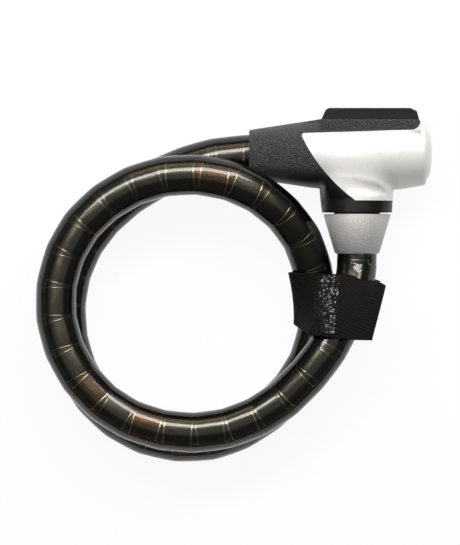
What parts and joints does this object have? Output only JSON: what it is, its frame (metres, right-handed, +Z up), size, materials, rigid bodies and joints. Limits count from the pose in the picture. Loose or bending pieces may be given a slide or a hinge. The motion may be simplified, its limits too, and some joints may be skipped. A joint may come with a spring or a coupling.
{
  "type": "armoured cable lock",
  "caption": "Coiled armoured cable lock with a clear jacket over steel casings, a barrel-shaped key head, a tapered plug that enters it, and a hook-and-loop strap.",
  "frame": {"origin": "centre of the bounding box at the surface the coil lies on", "axes": "+X along the head from its cable end to its key end, +Y from the coil to the head, +Z up"},
  "size_m": [0.207, 0.1856, 0.0483],
  "materials": {
    "black_plastic": "black moulded plastic with a fine sparkling grain",
    "black_block": "smooth black plastic",
    "silver_paint": "light silver satin paint",
    "silver_cap": "pale silver plastic",
    "ferrule_paint": "grey painted casting with a fine speckle",
    "die_cast": "bare die casting",
    "steel": "turned steel",
    "rope_steel": "stranded galvanised wire",
    "casing_steel": "dark hardened steel, polished",
    "brass": "turned brass",
    "black_rubber": "black rubber",
    "smoky_tube": "clear smoky tube with a wet gloss",
    "strap_fabric": "black woven loop strap",
    "strap_hook": "black moulded hooks"
  },
  "bodies": {
    "root": {"housing": "black_plastic", "silver_cover": "silver_paint", "bracket_block": "black_block", "block_screws": "steel", "lock_case": "die_cast", "socket_bush": "steel", "neck_ring": "black_rubber", "cylinder_sleeve": "steel", "cable_anchor": "steel", "clear_tube": "smoky_tube", "wire_rope": "rope_steel", "armour_casings": "casing_steel", "strap_band": "strap_fabric", "strap_hooks": "strap_hook"},
    "plug": {"ferrule": "ferrule_paint", "plug_shank": "steel", "plug_washer": "black_rubber", "plug_pin": "steel", "plug_anchor": "steel"},
    "core": {"rotor": "brass"},
    "bolt": {"locking_bolt": "steel"},
    "cover": {"dust_cover": "silver_cap"}
  },
  "joints": [
    {"name": "plug_pull", "type": "slide", "parent": "root", "child": "plug", "axis": [0, -1, 0], "range_m": [0, 0.028], "deforming": ["clear_tube", "wire_rope", "armour_casings", "strap_band", "strap_hooks"]},
    {"name": "key_turn", "type": "hinge", "parent": "root", "child": "core", "pos_m": [0.0905, 0.0685, 0.02], "axis": [1, 0, 0], "range_deg": [0, 90]},
    {"name": "bolt_slide", "type": "slide", "parent": "root", "child": "bolt", "axis": [-1, 0, 0], "range_m": [0, 0.003]},
    {"name": "cover_turn", "type": "hinge", "parent": "root", "child": "cover", "pos_m": [0.1, 0.0685, 0.02], "axis": [1, 0, 0], "range_deg": [0, 90]}
  ],
  "couplings": [
    {"joint": "bolt_slide", "follows": "key_turn", "m_per_rad": 0.0019099}
  ]
}
